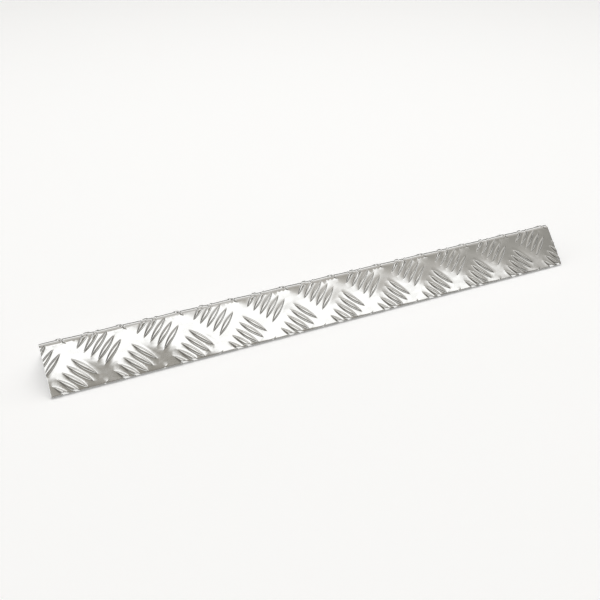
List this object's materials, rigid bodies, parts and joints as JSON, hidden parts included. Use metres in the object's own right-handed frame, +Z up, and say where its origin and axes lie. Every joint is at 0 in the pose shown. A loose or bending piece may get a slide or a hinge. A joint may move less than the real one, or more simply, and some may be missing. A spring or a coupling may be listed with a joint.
{
  "type": "bent aluminium tread plate angle",
  "caption": "Edge angle bent from aluminium tread plate, two equal legs at a right angle with raised bars on the outside, standing ridge up on its free edges.",
  "frame": {"origin": "floor level, midway along the angle and midway between its two free edges", "axes": "+X along the ridge, +Y towards the back leg, +Z up through the ridge"},
  "size_m": [0.5, 0.0634, 0.0321],
  "materials": {
    "tread_aluminium": "bright mill finish, satin on the raised bars"
  },
  "bodies": {
    "root": {"tread_angle": "tread_aluminium"}
  },
  "joints": []
}
